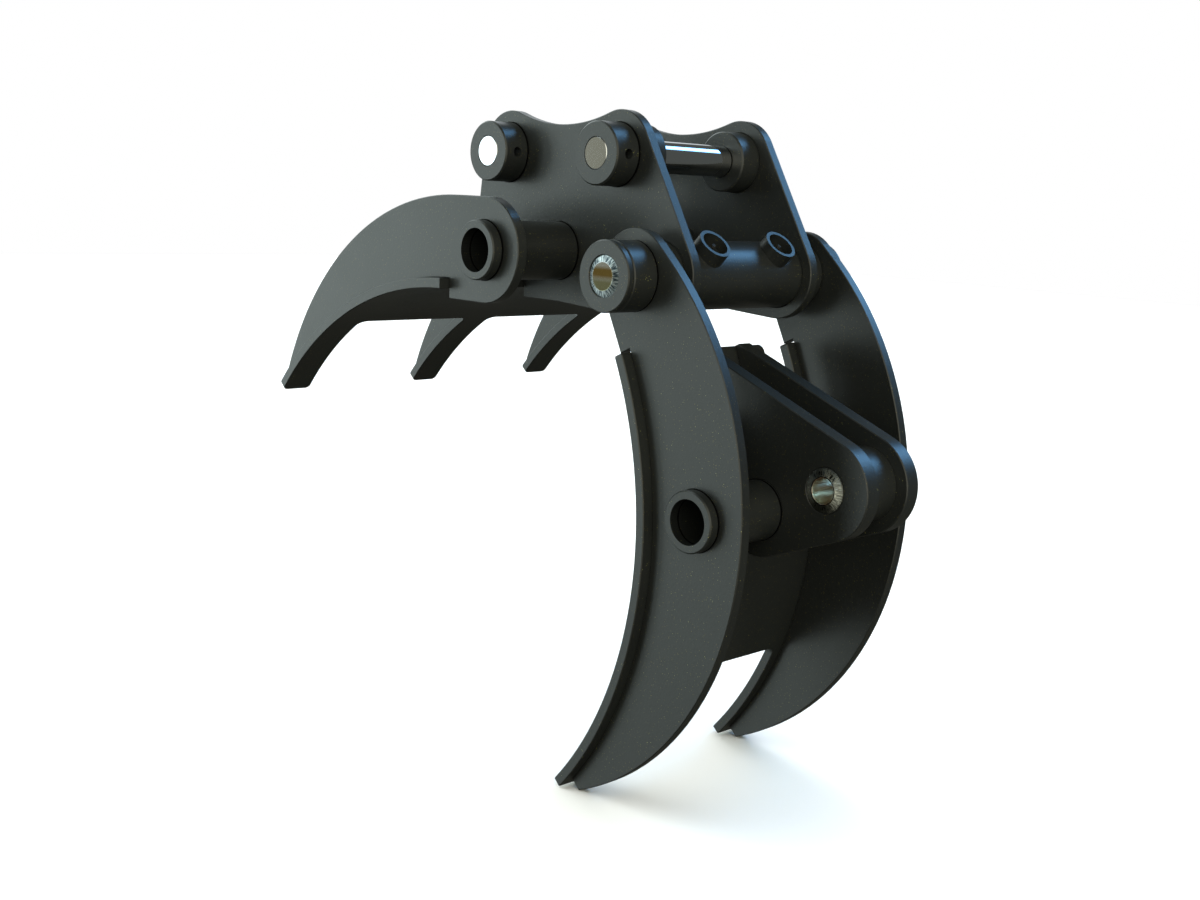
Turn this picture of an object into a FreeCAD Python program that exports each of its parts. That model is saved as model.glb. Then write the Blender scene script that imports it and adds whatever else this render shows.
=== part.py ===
import FreeCAD, Part
import math
import os
os.makedirs("parts", exist_ok=True)

# Log and brush grapple for a mini excavator: a head pinned to the dipper and the bucket link,
# a fixed jaw with three fingers and a hinged jaw with two fingers.
# Frame in millimetres: origin on the axis of the rear ear pin, which carries the dipper, at the
# middle of the width; +X toward the machine, +Z up, +Y to the operator's right.
# Profiles are drawn in the XZ plane from the jaw pivot, and write() moves them to that origin.

V = FreeCAD.Vector

# Plates and fits
PLATE = 16.0              # head plates and finger webs
ROLLED = 15.0             # rolled jaw plates
LUG_PLATE = 25.0          # lugs of the stay arm
SLIDE = 0.05              # radial clearance of a pin that turns or is drawn by hand
WELD_FIT = 0.05           # radial clearance of a tube in the plate it is welded into
EDGE_CHAMFER = 1.2        # on the outlines and holes of every cut plate

# Stick interface
DIPPER_GAP = 156.0        # between the inner boss faces
EAR_PIN_R = 22.5
EAR_PIN_CENTRES = 233.5
EAR_PIN_HEIGHT = 158.5
REAR_PIN_X = -90.0
BOSS_R = 43.3
BOSS_LENGTH = 94.0
BOSS_CHAMFER = 2.0
CROSS_HOLE_R = 7.0        # holes for retaining bolts through boss and pin
CROSS_HOLE_INSET = 21.0   # from the outer boss face
PIN_CHAMFER = 1.5

# Head plates
HEAD_INNER_HALF = 114.0   # mid-plane to the inner face of a head plate
EAR_EDGE = 17.4           # width of the plate round an ear boss
EAR_VALLEY_DEPTH = 20.2   # lowest point of the edge between the ears, below their tops
HEAD_PIVOT_EDGE = 16.5    # width of the plate round the pivot tube
HEAD_FOOT_X = -408.0      # where the front edge lands on the rolled plate
CROSS_TUBE_X = -203.0
CROSS_TUBE_Z = 21.0
CROSS_TUBE_EDGE = 31.75   # width of the webs and head plates round the cross tube

# Structural tubes
TUBE_R = 41.25
TUBE_WALL = 11.0
TUBE_CHAMFER = 1.8

# Jaw pivot
PIVOT_PIN_R = 27.5
PIVOT_PIN_PROUD = 1.8     # past the collars
PIVOT_PIN_BEVEL = 8.8     # radius lost at each end
PIVOT_PIN_BEVEL_LENGTH = 3.4
PIVOT_BUSH_WALL = 4.9
PIVOT_BUSH_LENGTH = 105.0
PIVOT_TUBE_WALL = 15.0
PIVOT_SIDE_PLAY = 0.5     # tube end to hinged jaw plate
HUB_WALL = 20.0
HUB_LENGTH = 42.5
HUB_CHAMFER = 1.5
NECK_DEPTH = 4.0
NECK_LENGTH = 2.5
COLLAR_LENGTH = 8.5
COLLAR_MOUTH = 1.0        # bevel at the mouth of the collar bore

# Grease points
GUARD_R = 24.15
GUARD_WALL = 5.0
GUARD_INSET = 11.5        # from the inner end of the bush that it greases
GUARD_ANGLE = 47.0        # above +X, round the pivot axis
GUARD_HEIGHT = 15.5       # from the top of the pivot tube to the rim plane
NIPPLE_THREAD_R = 4.0
NIPPLE_HEX = 11.0         # across flats
NIPPLE_HEX_HEIGHT = 4.0
NIPPLE_NECK_R = 2.6
NIPPLE_HEAD_R = 3.3
NIPPLE_HEIGHT = 12.0
NIPPLE_DEPTH = 8.5        # of the threaded hole in the pivot tube
NIPPLE_WAY_R = 1.0
GREASE_WAY_R = 2.0

# Rolled plates; lengths along them are measured on the concave face
ROLL_R = 572.0            # concave face of both rolled plates
FINGER_WIDTH = 50.0
FINGER_TIP_R = 9.0
FINGER_ROOT_R = 14.0

# Fixed jaw; lengths run forward from the highest point of the concave face
FIXED_FACE_X = -269.0
FIXED_FACE_Z = -38.0
FIXED_HEEL = 12.0
FIXED_ROOT = 297.0
FIXED_TIP = 496.0
FIXED_WEB_SHORT = 9.0     # end of the web before the finger tip
FIXED_STEP = 14.0         # heel of the web below the concave face
FIXED_WEB_PITCH = 260.0
FIXED_CROWN_X = -270.0    # highest point of the web's back edge
FIXED_TIP_DEPTH = 13.8    # behind the finger at the end of the web

# Hinged jaw; lengths run up or down from the rearmost point of the concave face
HINGED_FACE_X = 46.0
HINGED_FACE_Z = -357.0
HINGED_HEEL = 258.6       # up to the top edge of the outer fingers and the tongue
HINGED_ROOT = 211.6       # down to the root of the two long fingers
HINGED_TIP = 409.3        # down to their tips
HINGED_WEB_SHORT = 12.3   # end of the web before the finger tip
HINGED_SEAT_GAP = 4.4     # open gap between a plate end and the step in the web above it
HINGED_STEP = 4.0         # step in front of the concave face
HEEL_CORNER_R = 3.5       # upper corners of the outer fingers
WEB_SIDE_GAP = 32.0       # head plate to hinged web
HINGED_PIVOT_R = 63.0     # outline round the jaw pivot
SHOULDER_ANGLE = 40.5     # above +X, where the back arc of the web crosses that outline
WEB_DEPTH = 154.0         # behind the rearmost point of the rolled plate
WEB_TIP_DEPTH = 18.8      # behind the finger at the end of the web
TONGUE_GAP = 22.0         # head plate to the tongue that passes between the two
NOTCH_FOOT = 164.7        # up to the foot of the notches that clear the head plates
TONGUE_R = 10.0
JAW_TUBE_X = 137.5
JAW_TUBE_Z = -304.0
JAW_TUBE_PROUD = 16.0     # past the outer faces of the webs

# Stay arm lugs
LUG_OUTER = 55.0          # mid-plane to the outer face of a lug
STAY_X = 246.0
STAY_Z = -257.5
LUG_EDGE = 38.0           # width of the lug round the stay bush
LUG_TUBE_EDGE = 23.75     # width of the lug round the cross tube
LUG_RISE = 8.5            # height of the upper lug corner above the rolled plate
LUG_FOOT = 220.0          # degrees round the cross tube where the lower edge leaves it
SPACER_WALL = 21.0
SPACER_CHAMFER = 0.8
STAY_BUSH_WALL = 12.5
STAY_BORE_R = 17.5
STAY_BUSH_PROUD = 4.5     # height of the cone past the lug face
STAY_BORE_MOUTH = 1.0

CUT_PAST = 3.0            # extra length of a cutter past the face that it opens
SAME = 0.01               # two coordinates closer than this are one
SIDES = (("left", -1), ("right", 1))


def spot(x, z):
    return V(x, 0, z)


def polar(x, z, radius, angle):
    a = math.radians(angle)
    return spot(x + radius * math.cos(a), z + radius * math.sin(a))


def angle_of(point, x, z):
    return math.degrees(math.atan2(point.z - z, point.x - x))


def swept(length):
    """Angle round a roll centre of a length along the concave face, in degrees."""
    return math.degrees(length / ROLL_R)


def line(a, b):
    return Part.makeLine(a, b)


def arc(x, z, radius, start, end):
    """Arc in the XZ plane, angles in degrees from +X toward +Z; end below start turns the other way."""
    middle = polar(x, z, radius, (start + end) / 2)
    return Part.Arc(polar(x, z, radius, start), middle, polar(x, z, radius, end)).toShape()


def circle_through(a, b, c):
    """Centre and radius of the circle through three points of the XZ plane."""
    circle = Part.Arc(a, b, c).toShape().Curve
    return circle.Center.x, circle.Center.z, circle.Radius


def outer_tangent(x1, z1, r1, x2, z2, r2):
    """Angle of the touching points of the tangent line left of the way from circle 1 to circle 2."""
    way = math.atan2(z2 - z1, x2 - x1)
    reach = math.hypot(x2 - x1, z2 - z1)
    return math.degrees(way + math.acos((r1 - r2) / reach))


def point_tangent(point, x, z, radius, side):
    """Angle of the touching point on the circle, left (1) or right (-1) of the way from the point to it."""
    way = math.atan2(z - point.z, x - point.x)
    reach = math.hypot(x - point.x, z - point.z)
    return math.degrees(way + side * math.acos(-radius / reach))


def ray_in(point, angle, cx, cz, radius):
    """Distance from a point outside a circle along the angle to where the ray first meets the circle."""
    a = math.radians(angle)
    dx, dz = point.x - cx, point.z - cz
    b = dx * math.cos(a) + dz * math.sin(a)
    return -b - math.sqrt(b * b - dx * dx - dz * dz + radius * radius)


def slab(edges, start, thickness):
    """Solid between two Y planes from a closed profile in the XZ plane."""
    face = Part.Face(Part.Wire(edges))
    face.translate(V(0, start, 0))
    return face.extrude(V(0, thickness, 0))


def rod(x, z, radius, start, end):
    return Part.makeCylinder(radius, end - start, V(x, start, z), V(0, 1, 0))


def turned(points, x, z):
    """Solid of revolution about the Y line through (x, z), from (radius, y) points."""
    outline = [V(x + r, y, z) for r, y in points]
    face = Part.Face(Part.makePolygon(outline + outline[:1]))
    return face.revolve(V(x, 0, z), V(0, 1, 0), 360)


def tube(x, z, outer, inner, start, end, chamfer):
    return turned([(inner, start), (outer - chamfer, start), (outer, start + chamfer),
                   (outer, end - chamfer), (outer - chamfer, end), (inner, end)], x, z)


def cut_plate(edges, holes, start, thickness):
    """Flame-cut plate from a profile, with round holes (x, z, radius) and its side edges chamfered."""
    plate = slab(edges, start, thickness)
    end = start + thickness
    for x, z, radius in holes:
        plate = plate.cut(rod(x, z, radius, start - CUT_PAST, end + CUT_PAST))
    rims = [edge for edge in plate.Edges
            if all(abs(v.Y - start) < SAME for v in edge.Vertexes)
            or all(abs(v.Y - end) < SAME for v in edge.Vertexes)]
    return plate.makeChamfer(EDGE_CHAMFER, rims)


def ring_sector(x, z, inner, outer, angles, low, high):
    """Part of a cylinder shell between two angles and two Y planes."""
    a, b = angles
    return slab([arc(x, z, inner, a, b), line(polar(x, z, inner, b), polar(x, z, outer, b)),
                 arc(x, z, outer, b, a), line(polar(x, z, outer, a), polar(x, z, inner, a))],
                low, high - low)


def rolled_plate(x, z, angles, half_width, windows, rules):
    """Rolled plate round (x, z) with windows (angles, low y, high y), rounded corners and chamfered rims.

    Each rule for the corners is (test on (angle, y), radius).
    """
    plate = ring_sector(x, z, ROLL_R, roll_back, angles, -half_width, half_width)
    for window, low, high in windows:
        plate = plate.cut(ring_sector(x, z, ROLL_R - CUT_PAST, roll_back + CUT_PAST, window, low, high))

    def through(edge):
        """An edge straight through the plate ends at two radii."""
        radii = [math.hypot(v.X - x, v.Z - z) for v in edge.Vertexes]
        return max(radii) - min(radii) > ROLLED / 2

    for test, radius in rules:
        corners = [edge for edge in plate.Edges
                   if through(edge) and test(angle_of(edge.CenterOfMass, x, z), edge.CenterOfMass.y)]
        plate = plate.makeFillet(radius, corners)
    return plate.makeChamfer(EDGE_CHAMFER, [edge for edge in plate.Edges if not through(edge)])


def near(value, target):
    """Same angle round a roll centre, within half a degree."""
    return abs(value - target) < 0.5


def hexagon(across, height, base):
    """Hexagonal prism along +Z from the base height."""
    r = across / math.sqrt(3)
    turns = [math.radians(60 * k) for k in range(7)]
    ring = [V(r * math.cos(a), r * math.sin(a), base) for a in turns]
    return Part.Face(Part.makePolygon(ring)).extrude(V(0, 0, height))


def write(name, shape):
    """Saves a piece, moved from the jaw pivot to the frame on the rear ear pin."""
    placed = shape.copy()
    placed.translate(V(-REAR_PIN_X, 0, -EAR_PIN_HEIGHT))
    placed.exportStep("parts/" + name + ".step")


# Places that follow from the dimensions above
boss_inner = DIPPER_GAP / 2
boss_outer = boss_inner + BOSS_LENGTH
front_x = REAR_PIN_X - EAR_PIN_CENTRES
ear_pins = (("front", front_x), ("rear", REAR_PIN_X))
ear_r = BOSS_R + EAR_EDGE
head_outer = HEAD_INNER_HALF + PLATE
tube_seat_r = TUBE_R + WELD_FIT
cross_edge_r = TUBE_R + CROSS_TUBE_EDGE
tube_foot = spot(CROSS_TUBE_X, CROSS_TUBE_Z - cross_edge_r)

pivot_seat_r = PIVOT_PIN_R + WELD_FIT
bush_bore_r = PIVOT_PIN_R + SLIDE
bush_outer_r = bush_bore_r + PIVOT_BUSH_WALL
pivot_bore_r = bush_outer_r + WELD_FIT
pivot_tube_r = pivot_bore_r + PIVOT_TUBE_WALL
head_pivot_r = pivot_tube_r + HEAD_PIVOT_EDGE
hub_r = PIVOT_PIN_R + HUB_WALL

hinged_inner = head_outer + WEB_SIDE_GAP
hinged_outer = hinged_inner + PLATE
pivot_tube_half = hinged_inner - PIVOT_SIDE_PLAY
jaw_tube_half = hinged_outer + JAW_TUBE_PROUD
fixed_half = FIXED_WEB_PITCH + FINGER_WIDTH / 2
hinged_half = hinged_inner + (PLATE + FINGER_WIDTH) / 2
finger_inner = hinged_half - FINGER_WIDTH
tongue_half = HEAD_INNER_HALF - TONGUE_GAP

roll_back = ROLL_R + ROLLED
fixed_x, fixed_z = FIXED_FACE_X, FIXED_FACE_Z - ROLL_R
fixed_heel = 90 + swept(FIXED_HEEL)
fixed_root = 90 + swept(FIXED_ROOT)
fixed_tip = 90 + swept(FIXED_TIP)
fixed_web_tip = fixed_tip - swept(FIXED_WEB_SHORT)
heel = polar(fixed_x, fixed_z, ROLL_R - FIXED_STEP, fixed_heel)
heel_top = polar(fixed_x, fixed_z, roll_back, fixed_heel)
hinged_x, hinged_z = HINGED_FACE_X - ROLL_R, HINGED_FACE_Z
hinged_heel = swept(HINGED_HEEL)
hinged_root = -swept(HINGED_ROOT)
hinged_tip = -swept(HINGED_TIP)
hinged_web_tip = hinged_tip + swept(HINGED_WEB_SHORT)
hinged_seat = hinged_heel + swept(HINGED_SEAT_GAP)
notch_foot = swept(NOTCH_FOOT)

lug_inner = LUG_OUTER - LUG_PLATE
stay_bush_r = STAY_BORE_R + STAY_BUSH_WALL
stay_seat_r = stay_bush_r + WELD_FIT
lug_r = stay_bush_r + LUG_EDGE
lug_tube_r = TUBE_R + LUG_TUBE_EDGE


def head_profile():
    """Two ears with a valley between them, an edge to the jaw pivot and a foot on the rolled plate."""
    half = EAR_PIN_CENTRES / 2
    sink = ear_r - EAR_VALLEY_DEPTH
    valley_r = (half ** 2 + sink ** 2 - ear_r ** 2) / (2 * EAR_VALLEY_DEPTH)
    valley_x = REAR_PIN_X - half
    valley_z = EAR_PIN_HEIGHT + sink + valley_r
    blend = math.degrees(math.atan2(sink + valley_r, half))
    foot_angle = math.degrees(math.acos((HEAD_FOOT_X - fixed_x) / roll_back))
    foot = polar(fixed_x, fixed_z, roll_back, foot_angle)
    rise = point_tangent(foot, front_x, EAR_PIN_HEIGHT, ear_r, 1)
    rear = outer_tangent(REAR_PIN_X, EAR_PIN_HEIGHT, ear_r, 0, 0, head_pivot_r)
    under = point_tangent(tube_foot, 0, 0, head_pivot_r, -1)
    return [
        line(foot, polar(front_x, EAR_PIN_HEIGHT, ear_r, rise)),
        arc(front_x, EAR_PIN_HEIGHT, ear_r, rise, blend),
        arc(valley_x, valley_z, valley_r, blend - 180, -blend),
        arc(REAR_PIN_X, EAR_PIN_HEIGHT, ear_r, 180 - blend, rear),
        line(polar(REAR_PIN_X, EAR_PIN_HEIGHT, ear_r, rear), polar(0, 0, head_pivot_r, rear)),
        arc(0, 0, head_pivot_r, rear, under),
        line(polar(0, 0, head_pivot_r, under), tube_foot),
        line(tube_foot, heel),
        line(heel, heel_top),
        arc(fixed_x, fixed_z, roll_back, fixed_heel, foot_angle),
    ]


def fixed_web_profile():
    """Crescent behind the rolled plate, level at its crown, that ends round the cross tube."""
    crown = spot(FIXED_CROWN_X, CROSS_TUBE_Z + cross_edge_r)
    tip = polar(fixed_x, fixed_z, roll_back + FIXED_TIP_DEPTH, fixed_web_tip)
    fall = crown.z - tip.z
    back_r = ((crown.x - tip.x) ** 2 + fall ** 2) / (2 * fall)
    back_z = crown.z - back_r
    return [
        line(heel, tube_foot),
        arc(CROSS_TUBE_X, CROSS_TUBE_Z, cross_edge_r, -90, 90),
        line(spot(CROSS_TUBE_X, crown.z), crown),
        arc(crown.x, back_z, back_r, 90, angle_of(tip, crown.x, back_z)),
        line(tip, polar(fixed_x, fixed_z, roll_back, fixed_web_tip)),
        arc(fixed_x, fixed_z, roll_back, fixed_web_tip, fixed_heel),
        line(heel_top, heel),
    ]


def hinged_web_profile():
    """Sickle that hangs from the jaw pivot behind the hinged rolled plate, with a step over its top edge."""
    start = polar(hinged_x, hinged_z, ROLL_R - HINGED_STEP, hinged_seat)
    step = polar(hinged_x, hinged_z, roll_back, hinged_seat)
    tip = polar(hinged_x, hinged_z, roll_back + WEB_TIP_DEPTH, hinged_web_tip)
    deepest = polar(hinged_x, hinged_z, roll_back + WEB_DEPTH, 0)
    back_x, back_z, back_r = circle_through(polar(0, 0, HINGED_PIVOT_R, SHOULDER_ANGLE), deepest, tip)
    front = point_tangent(start, 0, 0, HINGED_PIVOT_R, 1)
    rear = outer_tangent(0, 0, HINGED_PIVOT_R, back_x, back_z, back_r)
    return [
        line(start, polar(0, 0, HINGED_PIVOT_R, front)),
        arc(0, 0, HINGED_PIVOT_R, front, rear),
        line(polar(0, 0, HINGED_PIVOT_R, rear), polar(back_x, back_z, back_r, rear)),
        arc(back_x, back_z, back_r, rear, angle_of(tip, back_x, back_z)),
        line(tip, polar(hinged_x, hinged_z, roll_back, hinged_web_tip)),
        arc(hinged_x, hinged_z, roll_back, hinged_web_tip, hinged_seat),
        line(step, start),
    ]


def lug_profile():
    """Arm from the back of the hinged rolled plate, round the cross tube and the stay bush."""
    inner = polar(hinged_x, hinged_z, roll_back, hinged_heel)
    corner = polar(hinged_x, hinged_z, roll_back + LUG_RISE, hinged_heel)
    top = point_tangent(corner, STAY_X, STAY_Z, lug_r, 1)
    under = outer_tangent(STAY_X, STAY_Z, lug_r, JAW_TUBE_X, JAW_TUBE_Z, lug_tube_r)
    leave = polar(JAW_TUBE_X, JAW_TUBE_Z, lug_tube_r, LUG_FOOT)
    reach = ray_in(leave, LUG_FOOT - 90, hinged_x, hinged_z, roll_back)
    landing = polar(leave.x, leave.z, reach, LUG_FOOT - 90)
    return [
        line(inner, corner),
        line(corner, polar(STAY_X, STAY_Z, lug_r, top)),
        arc(STAY_X, STAY_Z, lug_r, top, under),
        line(polar(STAY_X, STAY_Z, lug_r, under), polar(JAW_TUBE_X, JAW_TUBE_Z, lug_tube_r, under)),
        arc(JAW_TUBE_X, JAW_TUBE_Z, lug_tube_r, under, LUG_FOOT - 360),
        line(leave, landing),
        arc(hinged_x, hinged_z, roll_back, angle_of(landing, hinged_x, hinged_z), hinged_heel),
    ]


# Head: plates, ear bosses with their pins, and the tubes that tie the plates together
head_holes = [(x, EAR_PIN_HEIGHT, BOSS_R + WELD_FIT) for name, x in ear_pins]
head_holes += [(CROSS_TUBE_X, CROSS_TUBE_Z, tube_seat_r), (0, 0, pivot_tube_r + WELD_FIT)]
for side, sign in SIDES:
    start = HEAD_INNER_HALF if sign > 0 else -head_outer
    write("head_plate_" + side, cut_plate(head_profile(), head_holes, start, PLATE))

boss_half_section = [(EAR_PIN_R + SLIDE, 0), (BOSS_R - BOSS_CHAMFER, 0), (BOSS_R, BOSS_CHAMFER),
                     (BOSS_R, BOSS_LENGTH - BOSS_CHAMFER), (BOSS_R - BOSS_CHAMFER, BOSS_LENGTH),
                     (EAR_PIN_R + SLIDE, BOSS_LENGTH)]
cross_hole_y = boss_outer - CROSS_HOLE_INSET
cross_drill_half = BOSS_R + CUT_PAST
for name, x in ear_pins:
    drills = [Part.makeCylinder(CROSS_HOLE_R, 2 * cross_drill_half,
                                V(x - cross_drill_half, sign * cross_hole_y, EAR_PIN_HEIGHT), V(1, 0, 0))
              for side, sign in SIDES]
    for (side, sign), drill in zip(SIDES, drills):
        start = boss_inner if sign > 0 else -boss_outer
        points = [(r, start + y) for r, y in boss_half_section]
        write("ear_boss_" + name + "_" + side, turned(points, x, EAR_PIN_HEIGHT).cut(drill))
    pin = turned([(0, -boss_outer), (EAR_PIN_R - PIN_CHAMFER, -boss_outer),
                  (EAR_PIN_R, PIN_CHAMFER - boss_outer), (EAR_PIN_R, boss_outer - PIN_CHAMFER),
                  (EAR_PIN_R - PIN_CHAMFER, boss_outer), (0, boss_outer)], x, EAR_PIN_HEIGHT)
    for drill in drills:
        pin = pin.cut(drill)
    write("ear_pin_" + name, pin)

# Jaw pivot in the head: tube, bushes and grease points
guard_way = math.radians(GUARD_ANGLE)
guard_dir = V(math.cos(guard_way), 0, math.sin(guard_way))
guard_rim = pivot_tube_r + GUARD_HEIGHT
nipple_seat = pivot_tube_r - NIPPLE_DEPTH
neck_base = pivot_tube_r + NIPPLE_HEX_HEIGHT
nipple_top = pivot_tube_r + NIPPLE_HEIGHT
nipple_head = nipple_top - NIPPLE_HEAD_R
pivot_tube = tube(0, 0, pivot_tube_r, pivot_bore_r, -pivot_tube_half, pivot_tube_half, TUBE_CHAMFER)
for side, sign in SIDES:
    bush_inner_y = pivot_tube_half - PIVOT_BUSH_LENGTH
    centre = V(0, sign * (bush_inner_y + GUARD_INSET), 0)
    way = Part.makeCylinder(GREASE_WAY_R, pivot_tube_r, centre, guard_dir)
    seat = centre + guard_dir * nipple_seat
    thread = Part.makeCylinder(NIPPLE_THREAD_R + WELD_FIT, pivot_tube_r, seat, guard_dir)
    pivot_tube = pivot_tube.cut(way).cut(thread)
    bush = turned([(bush_bore_r, sign * bush_inner_y), (bush_outer_r, sign * bush_inner_y),
                   (bush_outer_r, sign * pivot_tube_half), (bush_bore_r, sign * pivot_tube_half)], 0, 0)
    write("pivot_bush_" + side, bush.cut(way))
    guard = Part.makeCylinder(GUARD_R, guard_rim, centre, guard_dir)
    guard = guard.cut(Part.makeCylinder(GUARD_R - GUARD_WALL, guard_rim, centre, guard_dir))
    guard = guard.cut(rod(0, 0, pivot_tube_r + WELD_FIT, -pivot_tube_half, pivot_tube_half))
    write("grease_guard_" + side, guard)
    nipple = Part.makeCylinder(NIPPLE_THREAD_R, NIPPLE_DEPTH, V(0, 0, nipple_seat))
    nipple = nipple.fuse(hexagon(NIPPLE_HEX, NIPPLE_HEX_HEIGHT, pivot_tube_r))
    nipple = nipple.fuse(Part.makeCylinder(NIPPLE_NECK_R, nipple_head - neck_base, V(0, 0, neck_base)))
    nipple = nipple.fuse(Part.makeCone(NIPPLE_HEAD_R, NIPPLE_NECK_R, NIPPLE_HEAD_R, V(0, 0, nipple_head)))
    nipple = nipple.cut(Part.makeCylinder(NIPPLE_WAY_R, nipple_top, V(0, 0, nipple_seat)))
    nipple.rotate(V(0, 0, 0), V(0, 1, 0), 90 - GUARD_ANGLE)
    nipple.translate(centre)
    write("grease_nipple_" + side, nipple.removeSplitter())
write("pivot_tube", pivot_tube)

# Fixed jaw: three webs on a cross tube and one rolled plate forked into three fingers
write("fixed_cross_tube", tube(CROSS_TUBE_X, CROSS_TUBE_Z, TUBE_R, TUBE_R - TUBE_WALL,
                               -fixed_half, fixed_half, TUBE_CHAMFER))
for name, place in (("left", -1), ("middle", 0), ("right", 1)):
    write("fixed_web_" + name, cut_plate(fixed_web_profile(), [(CROSS_TUBE_X, CROSS_TUBE_Z, tube_seat_r)],
                                         place * FIXED_WEB_PITCH - PLATE / 2, PLATE))
gap_low = FINGER_WIDTH / 2
gap_high = FIXED_WEB_PITCH - FINGER_WIDTH / 2
past_tip = fixed_tip + swept(CUT_PAST)
write("fixed_rolled_plate", rolled_plate(
    fixed_x, fixed_z, (fixed_heel, fixed_tip), fixed_half,
    [((fixed_root, past_tip), -gap_high, -gap_low), ((fixed_root, past_tip), gap_low, gap_high)],
    [(lambda angle, y: near(angle, fixed_tip), FINGER_TIP_R),
     (lambda angle, y: near(angle, fixed_root), FINGER_ROOT_R)]))

# Hinged jaw: two webs, a cross tube and one rolled plate forked at both ends
web_holes = [(0, 0, pivot_seat_r), (JAW_TUBE_X, JAW_TUBE_Z, tube_seat_r)]
for side, sign in SIDES:
    start = hinged_inner if sign > 0 else -hinged_outer
    write("hinged_web_" + side, cut_plate(hinged_web_profile(), web_holes, start, PLATE))
write("hinged_cross_tube", tube(JAW_TUBE_X, JAW_TUBE_Z, TUBE_R, TUBE_R - TUBE_WALL,
                                -jaw_tube_half, jaw_tube_half, TUBE_CHAMFER))
past_tip = hinged_tip - swept(CUT_PAST)
past_heel = hinged_heel + swept(CUT_PAST)
write("hinged_rolled_plate", rolled_plate(
    hinged_x, hinged_z, (hinged_tip, hinged_heel), hinged_half,
    [((past_tip, hinged_root), -finger_inner, finger_inner),
     ((notch_foot, past_heel), -finger_inner, -tongue_half),
     ((notch_foot, past_heel), tongue_half, finger_inner)],
    [(lambda angle, y: near(angle, hinged_root), FINGER_ROOT_R),
     (lambda angle, y: near(angle, hinged_heel) and abs(y) > finger_inner - SAME, HEEL_CORNER_R),
     (lambda angle, y: near(angle, hinged_heel) and abs(y) < tongue_half + SAME, TONGUE_R),
     (lambda angle, y: near(angle, notch_foot), TONGUE_R)]))

# Pivot pin with its hubs and collars on the hinged webs
neck_r = hub_r - NECK_DEPTH
neck_y = hinged_outer + HUB_LENGTH
collar_y = neck_y + NECK_LENGTH
rim_y = collar_y + COLLAR_LENGTH
hub = [(pivot_seat_r, hinged_outer), (hub_r, hinged_outer), (hub_r, neck_y - HUB_CHAMFER),
       (hub_r - HUB_CHAMFER, neck_y), (neck_r, neck_y), (neck_r, collar_y), (pivot_seat_r, collar_y)]
collar = [(pivot_seat_r, collar_y), (hub_r, collar_y), (hub_r, rim_y - HUB_CHAMFER),
          (hub_r - HUB_CHAMFER, rim_y), (pivot_seat_r + COLLAR_MOUTH, rim_y),
          (pivot_seat_r, rim_y - COLLAR_MOUTH)]
for side, sign in SIDES:
    write("pivot_hub_" + side, turned([(r, sign * y) for r, y in hub], 0, 0))
    write("pivot_collar_" + side, turned([(r, sign * y) for r, y in collar], 0, 0))
pin_half = rim_y + PIVOT_PIN_PROUD
pin_flat_r = PIVOT_PIN_R - PIVOT_PIN_BEVEL
shank_half = pin_half - PIVOT_PIN_BEVEL_LENGTH
write("pivot_pin", turned([(0, -pin_half), (pin_flat_r, -pin_half), (PIVOT_PIN_R, -shank_half),
                           (PIVOT_PIN_R, shank_half), (pin_flat_r, pin_half), (0, pin_half)], 0, 0))

# Stay arm lugs on the back of the hinged jaw
lug_holes = [(JAW_TUBE_X, JAW_TUBE_Z, tube_seat_r), (STAY_X, STAY_Z, stay_seat_r)]
for side, sign in SIDES:
    start = lug_inner if sign > 0 else -LUG_OUTER
    write("stay_lug_" + side, cut_plate(lug_profile(), lug_holes, start, LUG_PLATE))
write("stay_spacer", tube(STAY_X, STAY_Z, stay_seat_r + SPACER_WALL, stay_seat_r,
                          -lug_inner, lug_inner, SPACER_CHAMFER))
bush_half = LUG_OUTER + STAY_BUSH_PROUD
mouth_r = STAY_BORE_R + STAY_BORE_MOUTH
mouth_y = bush_half - STAY_BORE_MOUTH
write("stay_bush", turned([(mouth_r, -bush_half), (stay_bush_r, -LUG_OUTER), (stay_bush_r, LUG_OUTER),
                           (mouth_r, bush_half), (STAY_BORE_R, mouth_y), (STAY_BORE_R, -mouth_y)],
                          STAY_X, STAY_Z))
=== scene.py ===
import math

import bmesh
import bpy
import numpy as np
from mathutils import Matrix, Vector


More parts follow.
